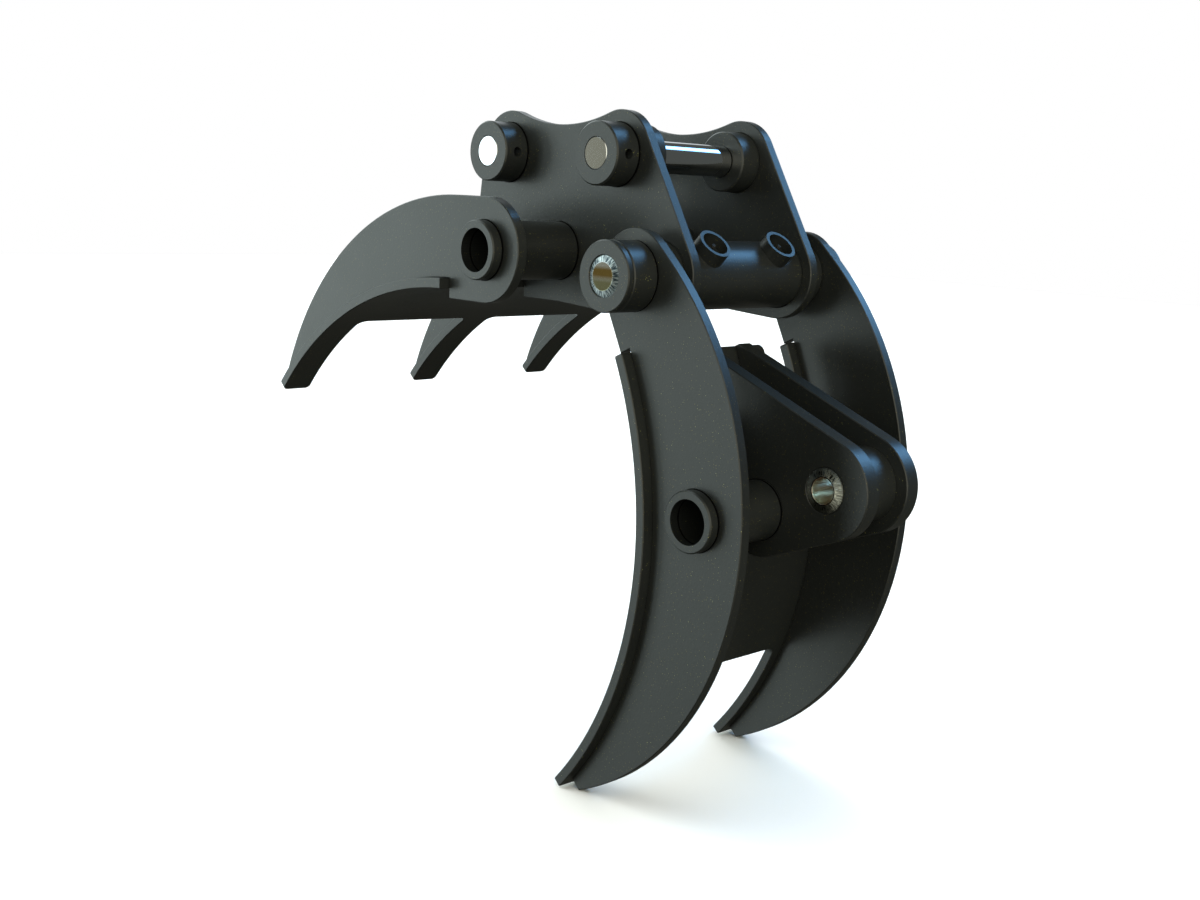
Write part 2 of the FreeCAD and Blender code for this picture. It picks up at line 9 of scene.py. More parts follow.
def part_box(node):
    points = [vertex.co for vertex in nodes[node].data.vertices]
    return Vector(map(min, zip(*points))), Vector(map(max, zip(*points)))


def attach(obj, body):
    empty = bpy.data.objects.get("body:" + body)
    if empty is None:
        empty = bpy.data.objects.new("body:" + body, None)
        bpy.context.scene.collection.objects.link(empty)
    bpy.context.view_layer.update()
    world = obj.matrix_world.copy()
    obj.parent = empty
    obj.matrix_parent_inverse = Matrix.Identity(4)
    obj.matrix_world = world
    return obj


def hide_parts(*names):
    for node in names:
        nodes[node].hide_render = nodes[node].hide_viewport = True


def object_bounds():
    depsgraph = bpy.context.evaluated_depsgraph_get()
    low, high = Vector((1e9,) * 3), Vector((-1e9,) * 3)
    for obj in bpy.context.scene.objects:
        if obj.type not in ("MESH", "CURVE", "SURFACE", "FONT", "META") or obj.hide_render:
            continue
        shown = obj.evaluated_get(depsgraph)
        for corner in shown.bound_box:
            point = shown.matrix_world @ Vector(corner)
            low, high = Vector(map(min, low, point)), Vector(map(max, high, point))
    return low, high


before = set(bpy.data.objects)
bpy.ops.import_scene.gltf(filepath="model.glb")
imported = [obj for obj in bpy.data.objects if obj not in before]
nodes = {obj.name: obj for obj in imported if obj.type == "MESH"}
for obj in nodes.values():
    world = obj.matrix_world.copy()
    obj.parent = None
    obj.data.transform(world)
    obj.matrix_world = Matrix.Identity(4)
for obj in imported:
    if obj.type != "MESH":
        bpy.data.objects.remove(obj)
cad_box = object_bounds()
scene = bpy.context.scene


# Camera at the photograph's place, solved from the ear bosses, the tubes and the plate outlines.
# It looks at the near side and the machine side of the grapple, slightly from above, and leans
# a little to one side.
VIEW_AZIMUTH = math.radians(46.64)
VIEW_ELEVATION = math.radians(10.43)
VIEW_ROLL = math.radians(2.67)
VIEW_PLACE = Vector((1.43382, -1.49215, -0.04783))
FOCAL_PIXELS = 1415.39
PHOTO_WIDTH = 1200.0
SENSOR_MM = 36.0

back = Vector((math.sin(VIEW_AZIMUTH) * math.cos(VIEW_ELEVATION),
               -math.cos(VIEW_AZIMUTH) * math.cos(VIEW_ELEVATION),
               math.sin(VIEW_ELEVATION)))
level_right = Vector((math.cos(VIEW_AZIMUTH), math.sin(VIEW_AZIMUTH), 0))
level_up = back.cross(level_right)
right = math.cos(VIEW_ROLL) * level_right + math.sin(VIEW_ROLL) * level_up
up = math.cos(VIEW_ROLL) * level_up - math.sin(VIEW_ROLL) * level_right
turn = Matrix((right, up, back)).transposed().to_4x4()
camera = bpy.data.objects.new("camera", bpy.data.cameras.new("camera"))
camera.data.sensor_width = SENSOR_MM
camera.data.lens = SENSOR_MM * FOCAL_PIXELS / PHOTO_WIDTH
camera.matrix_world = Matrix.Translation(VIEW_PLACE) @ turn
scene.collection.objects.link(camera)
scene.camera = camera


# Studio light: a white backdrop, and large soft panels round the object, which its coat and its metal
# mirror. The colours go to the picture as they are, with no film curve.
BACKDROP_COLOUR = "#ffffff"
DIM_COLOUR = "#4a4a42"
# Each panel: its azimuth, its half width, the width of its soft edge, the elevations that it comes up
# between, those that it goes between, its colour and its strength. Angles are in degrees, as seen
# from the object.
PANELS = [
    # Near side: a wide white wall that the flat faces mirror, with a dim gap for the ends of the pins.
    (182, 22, 4, (-48, 2), (40, 75), "#eefffd", 1.3),
    (212, 8, 1.5, (-48, 2), (40, 75), "#eefffd", 2.8),
    (223.8, 2.5, 1, (-48, 2), (30, 60), "#c8c8b0", 0.35),
    (236, 9, 1.5, (-48, 2), (30, 60), "#eefffd", 2.1),
    # Far side: a blue skylight that every upright edge mirrors, and a dim fill.
    (78, 8.5, 6, (8, 32), (50, 62), "#80c4ff", 6.8),
    (60, 70, 30, (-50, -10), (60, 85), "#9fb2c2", 0.06),
    # A warm lamp at the right and a white one at the back.
    (-28, 30, 25, (-35, 0), (30, 65), "#d2d0bc", 2.2),
    (150, 15, 15, (0, 25), (50, 80), "#dfe6ea", 1.6),
]


def linear(text):
    """A colour from its sRGB hex value, as a shader takes it: each channel by the sRGB curve."""
    value = np.array([int(text[i:i + 2], 16) / 255 for i in (1, 3, 5)])
    curved = np.where(value > 0.04045, ((value + 0.055) / 1.055) ** 2.4, value / 12.92)
    return (*[float(c) for c in curved], 1.0)


def add(tree, kind, settings=None, **links):
    """Adds a node. Settings that name an input set it, others set the node; links are socket to output.

    A socket is given by its name, with _ for a space, or by _ and its number. In a colour Mix node
    0 is the factor, 6 and 7 are the two colours and output 2 is the result.
    """
    made = tree.nodes.new("ShaderNode" + kind)
    for key, value in (settings or {}).items():
        if isinstance(key, int) or key in made.inputs:
            made.inputs[key].default_value = value
        else:
            setattr(made, key, value)
    for key, output in links.items():
        socket = made.inputs[int(key[1:])] if key[1:].isdigit() else made.inputs[key.replace("_", " ")]
        tree.links.new(output, socket)
    return made


scene.view_settings.view_transform = "Standard"
world = bpy.data.worlds.new("studio")
scene.world = world
world.use_nodes = True
sky = world.node_tree
sky.nodes.clear()
way = add(sky, "TexCoord").outputs["Generated"]
height = add(sky, "Math", {"operation": "ARCSINE"},
             _0=add(sky, "SeparateXYZ", _0=way).outputs["Z"]).outputs[0]
dim = add(sky, "RGB")
dim.outputs[0].default_value = linear(DIM_COLOUR)
studio = dim.outputs[0]
for azimuth, half, edge, rise, fall, colour, strength in PANELS:
    turned = math.radians(azimuth)
    ahead = add(sky, "VectorMath", {"operation": "DOT_PRODUCT", 1: (math.cos(turned), math.sin(turned), 0)},
                _0=way)
    aside = add(sky, "VectorMath", {"operation": "DOT_PRODUCT", 1: (-math.sin(turned), math.cos(turned), 0)},
                _0=way)
    swing = add(sky, "Math", {"operation": "ARCTAN2"}, _0=aside.outputs["Value"], _1=ahead.outputs["Value"])
    off = add(sky, "Math", {"operation": "ABSOLUTE"}, _0=swing.outputs[0]).outputs[0]
    level = {}
    for value, (gone, full) in ((off, (half + edge, half)), (height, rise), (height, fall[::-1])):
        span = {"From Min": math.radians(min(gone, full)), "From Max": math.radians(max(gone, full)),
                "To Min": float(gone > full), "To Max": float(gone < full)}
        fade = add(sky, "MapRange", {"interpolation_type": "SMOOTHSTEP", **span}, _0=value)
        product = add(sky, "Math", {"operation": "MULTIPLY", 0: strength}, _1=fade.outputs[0], **level)
        level = {"_0": product.outputs[0]}
    tint = add(sky, "Mix", {"data_type": "RGBA", "blend_type": "MULTIPLY", 0: 1.0, 6: linear(colour)},
               _7=level["_0"])
    studio = add(sky, "Mix", {"data_type": "RGBA", "blend_type": "ADD", 0: 1.0}, _6=studio,
                 _7=tint.outputs[2]).outputs[2]

seen = add(sky, "LightPath").outputs["Is Camera Ray"]
shown = add(sky, "Mix", {"data_type": "RGBA", 7: linear(BACKDROP_COLOUR)}, _0=seen, _6=studio)
add(sky, "OutputWorld", _0=add(sky, "Background", _0=shown.outputs[2]).outputs[0])


# Floor: matt white paint under the finger tips. A wide lamp lights the floor alone, so that the shadow
# on it stays soft and the black coat isn't washed out.
FLOOR_HALF = 12.0
FLOOR_COLOUR = "#f4f4f2"
FLOOR_ROUGHNESS = 0.9
LAMP_STRENGTH = 3.4
LAMP_WIDTH = math.radians(100)

floor_mesh = bpy.data.meshes.new("floor")
corners = [(-FLOOR_HALF, -FLOOR_HALF, 0), (FLOOR_HALF, -FLOOR_HALF, 0), (FLOOR_HALF, FLOOR_HALF, 0),
           (-FLOOR_HALF, FLOOR_HALF, 0)]
floor_mesh.from_pydata(corners, [], [(0, 1, 2, 3)])
floor_mesh.transform(Matrix.Translation((0, 0, cad_box[0].z)))
floor = bpy.data.objects.new("floor", floor_mesh)
scene.collection.objects.link(floor)
floor_paint = bpy.data.materials.new("matt white floor paint")
floor_paint.use_nodes = True
floor_shader = floor_paint.node_tree.nodes["Principled BSDF"]
floor_shader.inputs["Base Color"].default_value = linear(FLOOR_COLOUR)
floor_shader.inputs["Roughness"].default_value = FLOOR_ROUGHNESS
floor_mesh.materials.append(floor_paint)
floor.visible_glossy = False
floor.visible_diffuse = False

lamp = bpy.data.objects.new("floor lamp", bpy.data.lights.new("floor lamp", "SUN"))
lamp.data.energy = LAMP_STRENGTH
lamp.data.angle = LAMP_WIDTH
scene.collection.objects.link(lamp)
floor_only = bpy.data.collections.new("floor only")
floor_only.objects.link(floor)
lamp.light_linking.receiver_collection = floor_only


# Head plates: two flame-cut 16 mm plates with ground edges, powder coated over blasted steel, satin
# black with sparse yellow-olive flakes, and stoved. The coat has a soft sheen with a fine grain, a
# faint orange peel and a speck of gold here and there.
PAINT_COLOUR = "#292b2c"
PAINT_LIGHTER = "#313433"
PAINT_IOR = 1.5
PAINT_SMOOTHEST = 0.30
PAINT_ROUGHEST = 0.39
CLOUD_MM = 90
PEEL_MM = 3.2
PEEL_DEPTH = 0.0004
PEEL_STRENGTH = 0.36
FLAKE_COLOUR = "#6c653c"
BRIGHT_FLAKE_COLOUR = "#b9ba7c"
FLAKE_MM = 1.6             # as coarse as one needs to be to show; the real ones are about 0.3 mm
FLAKE_CORE = 0.2           # of its cell, full up to here
FLAKE_REACH = 0.42         # and gone here
FLAKE_SHARE = 0.06
BRIGHT_SHARE = 0.06        # of the flakes
# Painted shade: a plain black ring beside each plate that a piece comes through stands for the shade in the
# gap there.
PAINTED_SHADE_COLOUR = "#060606"
CREVICE_START = 0.0002
CREVICE_WIDTH = 0.0022     # the painted shade ring beside a plate where the piece passes through it, full up to here
CREVICE_END = 0.00286      # and gone here
# Painted shade in a tube's bore: its colour goes BORE_SHADE of the way to the painted shade colour.
BORE_SHARE = 0.74          # of a tube's outer radius is bore
BORE_EDGE_MM = 0.5
BORE_SHADE = 0.8

pieces = {}                # what stands for a CAD node, by the node's name


def blank(name):
    """A material with no shader yet: the material, its node tree and the place that is shaded, in metres."""
    made = bpy.data.materials.new(name)
    made.use_nodes = True
    made.node_tree.nodes.clear()
    return made, made.node_tree, add(made.node_tree, "TexCoord").outputs["Object"]


def beside(t, place, faces):
    """1 just outside any of the faces, given as distances from the mid-plane in metres, and 0 elsewhere."""
    side = add(t, "Math", {"operation": "ABSOLUTE"}, _0=add(t, "SeparateXYZ", _0=place).outputs[1])
    line = {}
    for face in faces:
        off = add(t, "Math", {"operation": "SUBTRACT", 1: face}, _0=side.outputs[0])
        start = add(t, "MapRange", {"From Min": -CREVICE_START, "From Max": 0.0}, _0=off.outputs[0])
        end = add(t, "MapRange", {"From Min": CREVICE_END, "From Max": CREVICE_WIDTH}, _0=off.outputs[0])
        ring = add(t, "Math", {"operation": "MULTIPLY"}, _0=start.outputs[0], _1=end.outputs[0])
        both = add(t, "Math", {"operation": "MAXIMUM", 0: 0.0}, _1=ring.outputs[0], **line)
        line = {"_0": both.outputs[0]}
    return line["_0"]


def around(t, place, centre):
    """About a line along Y through the centre: a place's angle, its distance in mm and its rise in metres."""
    moved = add(t, "Mapping", {"Location": (-centre.x, 0, -centre.z)}, Vector=place)
    split = add(t, "SeparateXYZ", _0=moved.outputs[0])
    angle = add(t, "Math", {"operation": "ARCTAN2"}, _0=split.outputs[2], _1=split.outputs[0])
    flat = add(t, "CombineXYZ", X=split.outputs[0], Y=split.outputs[2])
    reach = add(t, "VectorMath", {"operation": "LENGTH"}, _0=flat.outputs[0])
    span = add(t, "Math", {"operation": "MULTIPLY", 1: 1000.0}, _0=reach.outputs["Value"])
    return angle.outputs[0], span.outputs[0], split.outputs[2]


def painted(name, skin=(1, 1, 1), faces=(), bore_of=None):
    """Powder coat: noise mottles the colour, a cell pattern scatters flakes, noise bumps the skin.

    The skin's noise is that many times as fine along each axis. A black ring of painted shade lies beside
    each of the faces where the piece comes through a plate, and the bore of the tube that bore_of names
    is painted in shade.
    """
    coat, t, place = blank(name)
    cloud = add(t, "TexNoise", {"Scale": 1000 / CLOUD_MM, "Detail": 5.0}, Vector=place)
    mottle = add(t, "Mix", {"data_type": "RGBA", 6: linear(PAINT_COLOUR), 7: linear(PAINT_LIGHTER)},
                 _0=cloud.outputs[0])
    cell = add(t, "TexVoronoi", {"Scale": 1000 / FLAKE_MM, "feature": "F1"}, Vector=place)
    chance = add(t, "SeparateColor", _0=cell.outputs["Color"])
    pick = add(t, "Math", {"operation": "GREATER_THAN", 1: 1 - FLAKE_SHARE}, _0=chance.outputs[0])
    core = add(t, "MapRange", {"From Min": FLAKE_REACH, "From Max": FLAKE_CORE}, _0=cell.outputs["Distance"])
    flake = add(t, "Math", {"operation": "MULTIPLY"}, _0=pick.outputs[0], _1=core.outputs[0])
    bright = add(t, "Math", {"operation": "GREATER_THAN", 1: 1 - BRIGHT_SHARE}, _0=chance.outputs[1])
    gold = add(t, "Mix", {"data_type": "RGBA", 6: linear(FLAKE_COLOUR), 7: linear(BRIGHT_FLAKE_COLOUR)},
               _0=bright.outputs[0])
    colour = add(t, "Mix", {"data_type": "RGBA"}, _0=flake.outputs[0], _6=mottle.outputs[2],
                 _7=gold.outputs[2])
    drawn = add(t, "Mapping", {"Scale": skin}, Vector=place)
    peel = add(t, "TexNoise", {"Scale": 1000 / PEEL_MM, "Detail": 2.0}, Vector=drawn.outputs[0])
    bump = add(t, "Bump", {"Strength": PEEL_STRENGTH, "Distance": PEEL_DEPTH}, Height=peel.outputs[0])
    rough = add(t, "MapRange", {"To Min": PAINT_SMOOTHEST, "To Max": PAINT_ROUGHEST}, _0=cloud.outputs[0])
    shader = add(t, "BsdfPrincipled", {"IOR": PAINT_IOR}, Base_Color=colour.outputs[2],
                 Roughness=rough.outputs[0], Normal=bump.outputs[0]).outputs[0]
    # Painted shade: plain black beside the plates, and in the bore when one is named.
    if faces:
        shade_line = add(t, "BsdfDiffuse", {"Color": linear(PAINTED_SHADE_COLOUR)})
        painted_shade = beside(t, place, faces)
        # Painted shade inside the bore of the named tube.
        if bore_of:
            low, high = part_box(bore_of)
            reach = around(t, place, (low + high) / 2)[1]
            bore = 1000 * BORE_SHARE * (high.x - low.x) / 2
            inside = add(t, "MapRange", {"From Min": bore, "From Max": bore - BORE_EDGE_MM,
                                         "To Max": BORE_SHADE}, _0=reach)
            painted_shade = add(t, "Math", {"operation": "MAXIMUM"}, _0=painted_shade, _1=inside.outputs[0]).outputs[0]
        shader = add(t, "MixShader", _0=painted_shade, _1=shader, _2=shade_line.outputs[0]).outputs[0]
    add(t, "OutputMaterial", Surface=shader)
    return coat


def finish_nodes(material, *names):
    """Puts the material on CAD nodes, or on the pieces that stand for them."""
    for name in names:
        mesh = pieces.get(name, nodes[name]).data
        mesh.materials.clear()
        mesh.materials.append(material)


plate_coat = painted("satin black powder coat on plate")
finish_nodes(plate_coat, "head_plate_left", "head_plate_right")


# Ear bosses: four turned steel rings welded through the head plates, and coated with them. The solids
# of the far two are as long as the near ones. The real ones end nearer their plate, so each of them
# is a copy of its solid with the far end drawn in.
BOSS_DRAWN_IN = 0.028
SHARP_ANGLE = math.radians(15)
SAME_POINT = 1e-6
TURNED_SKIN = (1, 1.6, 1)
head_far_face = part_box("head_plate_right")[1].y


def draw_in(name, body, past, shift):
    """Copy of a node in which every point with y > past takes y - shift, put in the node's place."""
    mesh = nodes[name].data.copy()
    mesh.attributes.remove(mesh.attributes["custom_normal"])
    welded = bmesh.new()
    welded.from_mesh(mesh)
    bmesh.ops.remove_doubles(welded, verts=welded.verts, dist=SAME_POINT)
    welded.to_mesh(mesh)
    welded.free()
    points = np.empty(3 * len(mesh.vertices), dtype=np.float32)
    mesh.vertices.foreach_get("co", points)
    points = points.reshape(-1, 3)
    points[:, 1] = np.where(points[:, 1] > past, points[:, 1] - shift, points[:, 1])
    mesh.vertices.foreach_set("co", points.ravel())
    mesh.shade_smooth()
    mesh.set_sharp_from_angle(angle=SHARP_ANGLE)
    piece = bpy.data.objects.new(name + "_short", mesh)
    scene.collection.objects.link(piece)
    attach(piece, body)
    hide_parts(name)
    pieces[name] = piece


def outer_face(name):
    """Distance from the mid-plane to the outer face of a plate."""
    return max(abs(corner.y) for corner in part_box(name))


boss_coat = painted("satin black powder coat on boss", skin=TURNED_SKIN,
                    faces=[outer_face("head_plate_left")])
for end in ("front", "rear"):
    draw_in("ear_boss_" + end + "_right", "head", head_far_face, BOSS_DRAWN_IN)
    finish_nodes(boss_coat, "ear_boss_" + end + "_left", "ear_boss_" + end + "_right")


# Pivot tube: thick drawn tube welded between the head plates, with two stub pipes on it that guard the
# grease nipples. It has the coat of the plates, with a skin that runs round it.
tube_coat = painted("satin black powder coat on tube", skin=TURNED_SKIN)
finish_nodes(tube_coat, "pivot_tube", "grease_guard_left", "grease_guard_right")


# Pivot bushes: bare hardened steel, pressed into the pivot tube, seen only at their ends.
# Machined grey with rings from the tool.
BUSH_COLOUR = "#8f9088"
BUSH_SMOOTHEST = 0.28
BUSH_ROUGHEST = 0.42
BUSH_LINE_DEPTH = 0.0002
BUSH_LINE_STRENGTH = 0.2
HAIR_MM = 0.5              # from one line to the next
HAIR_SPREAD = 6            # cells to a metre along a line


def turning_lines(t, place):
    """Noise drawn out round the Y axis, as a lathe tool or a grinding wheel leaves its lines."""
    drawn = add(t, "Mapping", {"Scale": (HAIR_SPREAD, 1000 / HAIR_MM, HAIR_SPREAD)}, Vector=place)
    return add(t, "TexNoise", {"Scale": 1.0, "Detail": 2.0}, Vector=drawn.outputs[0]).outputs[0]


bush_steel, t, place = blank("machined bush steel")
hair = turning_lines(t, place)
rough = add(t, "MapRange", {"To Min": BUSH_SMOOTHEST, "To Max": BUSH_ROUGHEST}, _0=hair)
bump = add(t, "Bump", {"Strength": BUSH_LINE_STRENGTH, "Distance": BUSH_LINE_DEPTH}, Height=hair)
shader = add(t, "BsdfPrincipled", {"Base Color": linear(BUSH_COLOUR), "Metallic": 1.0},
             Roughness=rough.outputs[0], Normal=bump.outputs[0])
add(t, "OutputMaterial", Surface=shader.outputs[0])
finish_nodes(bush_steel, "pivot_bush_left", "pivot_bush_right")


# Grease nipples: steel with black oxide, screwed into the pivot tube down in their guards.
# Oily black with a brown cast and worn a little lighter here and there.
OXIDE_COLOUR = "#1b1a18"
OXIDE_WORN = "#3a3731"
OXIDE_IOR = 1.5
OXIDE_SMOOTHEST = 0.6
OXIDE_ROUGHEST = 0.75
WEAR_MM = 3
WEAR_DEPTH = 0.0002
WEAR_STRENGTH = 0.2

nipple_steel, t, place = blank("oiled black oxide")
worn = add(t, "TexNoise", {"Scale": 1000 / WEAR_MM, "Detail": 4.0}, Vector=place)
colour = add(t, "Mix", {"data_type": "RGBA", 6: linear(OXIDE_COLOUR), 7: linear(OXIDE_WORN)},
             _0=worn.outputs[0])
rough = add(t, "MapRange", {"To Min": OXIDE_SMOOTHEST, "To Max": OXIDE_ROUGHEST}, _0=worn.outputs[0])
bump = add(t, "Bump", {"Strength": WEAR_STRENGTH, "Distance": WEAR_DEPTH}, Height=worn.outputs[0])
shader = add(t, "BsdfPrincipled", {"IOR": OXIDE_IOR}, Base_Color=colour.outputs[2],
             Roughness=rough.outputs[0], Normal=bump.outputs[0])
add(t, "OutputMaterial", Surface=shader.outputs[0])
finish_nodes(nipple_steel, "grease_nipple_left", "grease_nipple_right")


# Fixed jaw: three webs on a cross tube, and a plate rolled to a long bend and cut into three fingers.
# The coat of the rolled plate lies on mill scale that was stretched across the bend, so its skin is
# drawn out along the rollers.
ROLLED_SKIN = (1, 0.6, 1)

rolled_coat = painted("satin black powder coat on rolled plate", skin=ROLLED_SKIN)
fixed_tube_coat = painted("satin black powder coat on fixed jaw tube", skin=TURNED_SKIN,
                          faces=[outer_face("head_plate_left"), outer_face("fixed_web_left")],
                          bore_of="fixed_cross_tube")
finish_nodes(plate_coat, "fixed_web_left", "fixed_web_middle", "fixed_web_right")
finish_nodes(rolled_coat, "fixed_rolled_plate")
finish_nodes(fixed_tube_coat, "fixed_cross_tube")


# Hinged jaw: two webs on a cross tube, a rolled plate with its fingers, and two lugs for the stay arm
# with a spacer tube between them. It is welded up and coated in one go, as the head is.
hinged_tube_coat = painted("satin black powder coat on hinged jaw tube", skin=TURNED_SKIN,
                           faces=[outer_face("hinged_web_left"), outer_face("stay_lug_left")],
                           bore_of="hinged_cross_tube")
finish_nodes(plate_coat, "hinged_web_left", "hinged_web_right", "stay_lug_left", "stay_lug_right")
finish_nodes(rolled_coat, "hinged_rolled_plate")
finish_nodes(hinged_tube_coat, "hinged_cross_tube")
finish_nodes(tube_coat, "stay_spacer")


# Stay bush: bare steel, turned to a cone outside and honed in its bore, pressed in after coating.
# The cone's colour is a painted highlight, lightest at its sides and painted darker above and below,
# with short tool marks painted dark there. The coat of the lug runs out over its foot. The bore has a
# warm polish behind a black rim of painted shade.
STEEL_COLOUR = "#fbfff8"
STEEL_SHADE = "#7f817a"
STEEL_ROUGHNESS = 0.32
BORE_COLOUR = "#fff1da"
BORE_ROUGHNESS = 0.28
FOOT_ROUGHNESS = 0.34
MARK_SHADE_COLOUR = "#20201c"
TOOL_MARKS = 90
TOOL_MARK_DEPTH = 0.0005
TOOL_MARK_STRENGTH = 0.7
RAY_LENGTH_MM = 9
RAY_BLUR = 0.15
# Distances from the bush's centre line: where the rim takes over from the bore, the cone from the rim
# and the coat from the bare cone, and the reach of the tool marks.
BORE_TO_MM = 17.6
RIM_FROM_MM = 17.8
RIM_TO_MM = 18.9
CONE_FROM_MM = 19.3
BARE_TO_MM = 27.0
COAT_FROM_MM = 31.0
MARK_FROM_MM = 20.0
MARK_TO_MM = 26.0
MARK_EDGE_MM = 0.5
# Rise or fall as a share of that distance, between which the cone's colour goes to painted shade and the tool
# marks come up, painted dark.
LIGHT_TO = 0.2
DARK_FROM = 0.85
MARKS_NONE = 0.62
MARKS_ALL = 0.78
# Value of the ray noise at which a tool mark is gone, and at which it is full.
MARK_THIN = 0.38
MARK_FULL = 0.24


def rays(t, angle, span, count, length):
    """Noise drawn out along the radius: about count rays in the circle, each some length long in mm."""
    turn = add(t, "Math", {"operation": "MULTIPLY", 1: count / math.tau}, _0=angle)
    out = add(t, "Math", {"operation": "DIVIDE", 1: length}, _0=span)
    spot = add(t, "CombineXYZ", X=turn.outputs[0], Y=out.outputs[0])
    noise = add(t, "TexNoise", {"noise_dimensions": "2D", "Scale": 1.0, "Detail": 1.0},
                Vector=spot.outputs[0])
    return add(t, "MapRange", {"From Min": 0.5 - RAY_BLUR, "From Max": 0.5 + RAY_BLUR},
               _0=noise.outputs[0]).outputs[0]


stay_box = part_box("stay_bush")
stay_steel, t, place = blank("turned and honed steel")
angle, span, lift = around(t, place, (stay_box[0] + stay_box[1]) / 2)
ray = rays(t, angle, span, TOOL_MARKS, RAY_LENGTH_MM)
off_bore = add(t, "MapRange", {"From Min": BORE_TO_MM, "From Max": RIM_FROM_MM}, _0=span)
off_rim = add(t, "MapRange", {"From Min": RIM_TO_MM, "From Max": CONE_FROM_MM}, _0=span)
coated = add(t, "MapRange", {"From Min": BARE_TO_MM, "From Max": COAT_FROM_MM}, _0=span)
lift_mm = add(t, "Math", {"operation": "MULTIPLY", 1: 1000.0}, _0=lift)
slant = add(t, "Math", {"operation": "DIVIDE"}, _0=lift_mm.outputs[0], _1=span)
slant = add(t, "Math", {"operation": "ABSOLUTE"}, _0=slant.outputs[0])
# Painted highlight and shade: the cone is near white where it is level and goes to STEEL_SHADE as it grows
# steep, for the bow of light on turned steel.
shade = add(t, "MapRange", {"From Min": LIGHT_TO, "From Max": DARK_FROM}, _0=slant.outputs[0])
turned = add(t, "Mix", {"data_type": "RGBA", 6: linear(STEEL_COLOUR), 7: linear(STEEL_SHADE)},
             _0=shade.outputs[0])
bare = add(t, "Mix", {"data_type": "RGBA", 6: linear(BORE_COLOUR)}, _0=off_bore.outputs[0],
           _7=turned.outputs[2])
# The tool marks are grooves in the bump; their dark colour is painted shade, only where the cone is steep.
steep = add(t, "MapRange", {"From Min": MARKS_NONE, "From Max": MARKS_ALL}, _0=slant.outputs[0])
groove = add(t, "MapRange", {"From Min": MARK_THIN, "From Max": MARK_FULL}, _0=ray)
inner = add(t, "MapRange", {"From Min": MARK_FROM_MM, "From Max": MARK_FROM_MM + MARK_EDGE_MM}, _0=span)
outer = add(t, "MapRange", {"From Min": MARK_TO_MM, "From Max": MARK_TO_MM - MARK_EDGE_MM}, _0=span)
mark = steep.outputs[0]
for part in (groove, inner, outer):
    mark = add(t, "Math", {"operation": "MULTIPLY"}, _0=mark, _1=part.outputs[0]).outputs[0]
colour = add(t, "Mix", {"data_type": "RGBA", 7: linear(MARK_SHADE_COLOUR)}, _0=mark, _6=bare.outputs[2])
rough = add(t, "MapRange", {"To Min": BORE_ROUGHNESS, "To Max": STEEL_ROUGHNESS}, _0=off_bore.outputs[0])
grooves = add(t, "Math", {"operation": "MULTIPLY"}, _0=ray, _1=off_rim.outputs[0])
bump = add(t, "Bump", {"Strength": TOOL_MARK_STRENGTH, "Distance": TOOL_MARK_DEPTH},
           Height=grooves.outputs[0])
steel = add(t, "BsdfPrincipled", {"Metallic": 1.0}, Base_Color=colour.outputs[2], Roughness=rough.outputs[0],
            Normal=bump.outputs[0])
foot = add(t, "BsdfPrincipled", {"Base Color": linear(PAINT_COLOUR), "IOR": PAINT_IOR,
                                 "Roughness": FOOT_ROUGHNESS}, Normal=bump.outputs[0])
# Painted shade: the mouth between the bore and the cone is plain black, for the dark that its chamfer
# mirrors.
rim_shade = add(t, "BsdfDiffuse", {"Color": linear(PAINTED_SHADE_COLOUR)})
on_rim = add(t, "Math", {"operation": "SUBTRACT"}, _0=off_bore.outputs[0], _1=off_rim.outputs[0])
cone = add(t, "MixShader", _0=coated.outputs[0], _1=steel.outputs[0], _2=foot.outputs[0])
whole = add(t, "MixShader", _0=on_rim.outputs[0], _1=cone.outputs[0], _2=rim_shade.outputs[0])
add(t, "OutputMaterial", Surface=whole.outputs[0])
finish_nodes(stay_steel, "stay_bush")


# Pivot hubs and collars: turned rings either side of the head that carry the hinged jaw on its pin,
# with the coat of the jaw. The far hub and its collar are drawn in as the far ear bosses are.
PIVOT_DRAWN_IN = 0.021
hinged_far_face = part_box("hinged_web_right")[1].y

for name in ("pivot_hub_right", "pivot_collar_right"):
    draw_in(name, "hinged_jaw", hinged_far_face + PIVOT_DRAWN_IN, PIVOT_DRAWN_IN)
hub_coat = painted("satin black powder coat on hub", skin=TURNED_SKIN, faces=[outer_face("hinged_web_left")])
finish_nodes(hub_coat, "pivot_hub_left", "pivot_hub_right")
finish_nodes(tube_coat, "pivot_collar_left", "pivot_collar_right")


# Pivot pin: hard chromed steel, turned, with a wide bevel at each end that was milled and left rough. The
# bevel has painted glints, fine rays of light and dark in its colour, and the flat end a painted
# reflection: an amber band across it and a grey-olive tint below. The far end is drawn in with its hub.
CHROME_COLOUR = "#d8dade"
FLAT_ROUGHNESS = 0.05
# Painted glints on the bevel: rays of light and dark colour.
RAY_DARK = "#4a565e"
RAY_LIGHT = "#c8d2d4"
RAY_COUNT = 75
RAY_DEPTH = 0.0004
RAY_STRENGTH = 0.5
BEVEL_ROUGHNESS = 0.38
FLAT_TO_MM = 18.6          # distances from the pin's centre line
BEVEL_FROM_MM = 19.0
REFLECTED_BAND_COLOUR = "#9c8450"
LOW_REFLECTION_COLOUR = "#a3a488"
BAND_WAVER_MM = 30
BAND_WAVER_HEIGHT = 0.0015
# Heights above the pin's centre line, in metres: the painted reflected band comes up between the first two
# and goes between the next two, and below it a painted grey-olive reflection is full from the last one down.
BAND_LOW = -0.005
BAND_LOW_FULL = 0.001
BAND_HIGH_FULL = 0.0085
BAND_HIGH = 0.0135
LOW_REFLECTION_FULL = -0.008

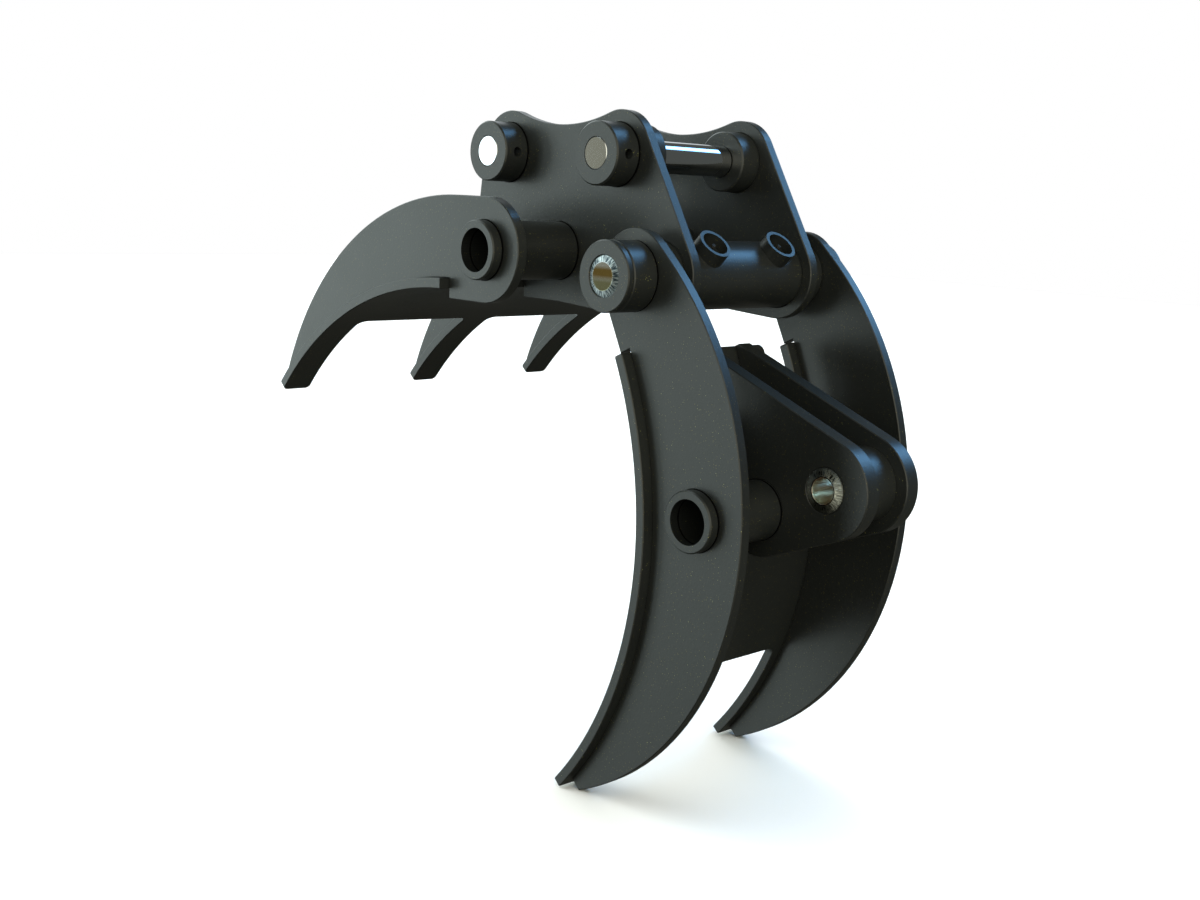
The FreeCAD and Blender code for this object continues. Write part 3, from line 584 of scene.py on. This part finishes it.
draw_in("pivot_pin", "hinged_jaw", hinged_far_face + PIVOT_DRAWN_IN, PIVOT_DRAWN_IN)
pin_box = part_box("pivot_pin")
pivot_chrome, t, place = blank("hard chrome with a milled bevel")
angle, span, lift = around(t, place, (pin_box[0] + pin_box[1]) / 2)
ray = rays(t, angle, span, RAY_COUNT, RAY_LENGTH_MM)
on_bevel = add(t, "MapRange", {"From Min": FLAT_TO_MM, "From Max": BEVEL_FROM_MM}, _0=span)
painted_glints = add(t, "Mix", {"data_type": "RGBA", 6: linear(RAY_DARK), 7: linear(RAY_LIGHT)}, _0=ray)
# Painted reflection: a wavering band across the flat end, and a tint below it, stand for the horizon that the
# chrome mirrors.
band_noise = add(t, "TexNoise", {"Scale": 1000 / BAND_WAVER_MM, "Detail": 3.0}, Vector=place)
waver = add(t, "MapRange", {"To Min": -BAND_WAVER_HEIGHT, "To Max": BAND_WAVER_HEIGHT}, _0=band_noise.outputs[0])
level = add(t, "Math", {"operation": "ADD"}, _0=lift, _1=waver.outputs[0])
below = add(t, "MapRange", {"From Min": BAND_LOW, "From Max": BAND_LOW_FULL}, _0=level.outputs[0])
above = add(t, "MapRange", {"From Min": BAND_HIGH, "From Max": BAND_HIGH_FULL}, _0=level.outputs[0])
reflected_band = add(t, "Math", {"operation": "MULTIPLY"}, _0=below.outputs[0], _1=above.outputs[0])
low_half = add(t, "MapRange", {"From Min": 0.0, "From Max": LOW_REFLECTION_FULL}, _0=level.outputs[0])
low_reflection = add(t, "Mix", {"data_type": "RGBA", 6: linear(CHROME_COLOUR), 7: linear(LOW_REFLECTION_COLOUR)},
            _0=low_half.outputs[0])
flat_end = add(t, "Mix", {"data_type": "RGBA", 7: linear(REFLECTED_BAND_COLOUR)}, _0=reflected_band.outputs[0],
               _6=low_reflection.outputs[2])
colour = add(t, "Mix", {"data_type": "RGBA"}, _0=on_bevel.outputs[0], _6=flat_end.outputs[2],
             _7=painted_glints.outputs[2])
rough = add(t, "MapRange", {"To Min": FLAT_ROUGHNESS, "To Max": BEVEL_ROUGHNESS}, _0=on_bevel.outputs[0])
grooves = add(t, "Math", {"operation": "MULTIPLY"}, _0=ray, _1=on_bevel.outputs[0])
bump = add(t, "Bump", {"Strength": RAY_STRENGTH, "Distance": RAY_DEPTH}, Height=grooves.outputs[0])
shader = add(t, "BsdfPrincipled", {"Metallic": 1.0}, Base_Color=colour.outputs[2], Roughness=rough.outputs[0],
             Normal=bump.outputs[0])
add(t, "OutputMaterial", Surface=shader.outputs[0])
finish_nodes(pivot_chrome, "pivot_pin")


# Ear pins: the same hard chrome, ground round and polished, with turned ends. They mirror the studio
# sharply, with hair lines from the wheel round them, and a black ring of painted shade lies on each
# beside the inner face of its boss. Their far ends are drawn in with the bosses.
CHROME_SMOOTHEST = 0.03
CHROME_ROUGHEST = 0.07
HAIR_DEPTH = 0.0001
HAIR_STRENGTH = 0.05
SHADE_RING_INSET = 0.0015

for end in ("front", "rear"):
    draw_in("ear_pin_" + end, "head", head_far_face, BOSS_DRAWN_IN)
boss_face = min(abs(corner.y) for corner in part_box("ear_boss_rear_left"))
chrome, t, place = blank("ground hard chrome")
hair = turning_lines(t, place)
rough = add(t, "MapRange", {"To Min": CHROME_SMOOTHEST, "To Max": CHROME_ROUGHEST}, _0=hair)
bump = add(t, "Bump", {"Strength": HAIR_STRENGTH, "Distance": HAIR_DEPTH}, Height=hair)
shader = add(t, "BsdfPrincipled", {"Base Color": linear(CHROME_COLOUR), "Metallic": 1.0},
             Roughness=rough.outputs[0], Normal=bump.outputs[0])
# Painted shade: a plain black ring on the pin beside the inner face of each boss.
pin_shade_ring = add(t, "BsdfDiffuse", {"Color": linear(PAINTED_SHADE_COLOUR)})
with_shade_ring = add(t, "MixShader", _0=beside(t, place, [boss_face - SHADE_RING_INSET]), _1=shader.outputs[0],
               _2=pin_shade_ring.outputs[0])
add(t, "OutputMaterial", Surface=with_shade_ring.outputs[0])
finish_nodes(chrome, "ear_pin_front", "ear_pin_rear")
